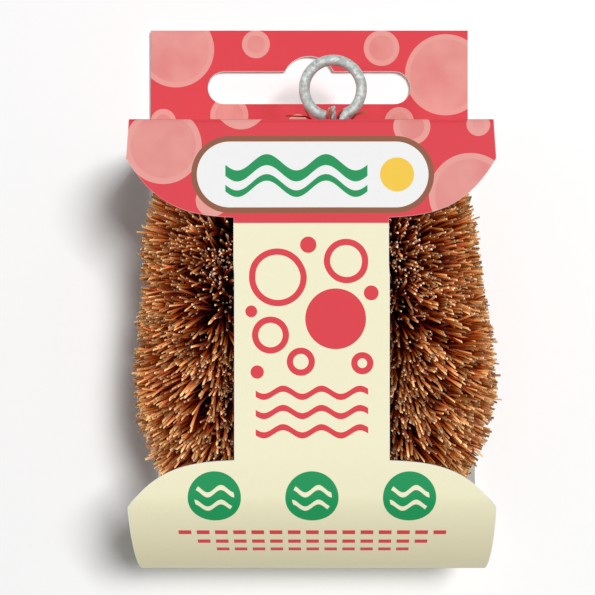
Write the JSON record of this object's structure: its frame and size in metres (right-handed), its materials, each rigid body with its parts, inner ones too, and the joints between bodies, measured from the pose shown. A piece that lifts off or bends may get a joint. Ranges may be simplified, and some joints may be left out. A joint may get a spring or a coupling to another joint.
{
  "type": "scrub brush",
  "caption": "Hand-sized coir fibre scrub brush on a twisted wire loop with a wire hanging ring, held in a folded card sleeve with a fold-down hang tab and euro slot.",
  "frame": {"origin": "under the middle of the whole, on the outside of the sleeve's back panel", "axes": "+X to the right seen from the front, +Y towards the hanging ring and hang tab, +Z out of the front of the card; the part lies on its back"},
  "size_m": [0.0533, 0.0818, 0.029],
  "materials": {
    "galvanised_wire": "dull mottled zinc",
    "coir_fibre": "coarse dry plant fibre",
    "cream_card": "smooth printed card",
    "red_card": "smooth printed card"
  },
  "bodies": {
    "brush": {"core_wire_a": "galvanised_wire", "core_wire_b": "galvanised_wire", "hanging_ring": "galvanised_wire", "neck_binding": "galvanised_wire", "bristles_right": "coir_fibre", "bristles_bottom": "coir_fibre", "bristles_left": "coir_fibre", "card_sleeve": "cream_card"},
    "tab": {"hang_tab": "red_card"}
  },
  "joints": [
    {"name": "tab_fold", "type": "hinge", "parent": "brush", "child": "tab", "pos_m": [0, 0.02378, 0.0005], "axis": [1, 0, 0], "range_deg": [-90, 45]}
  ]
}
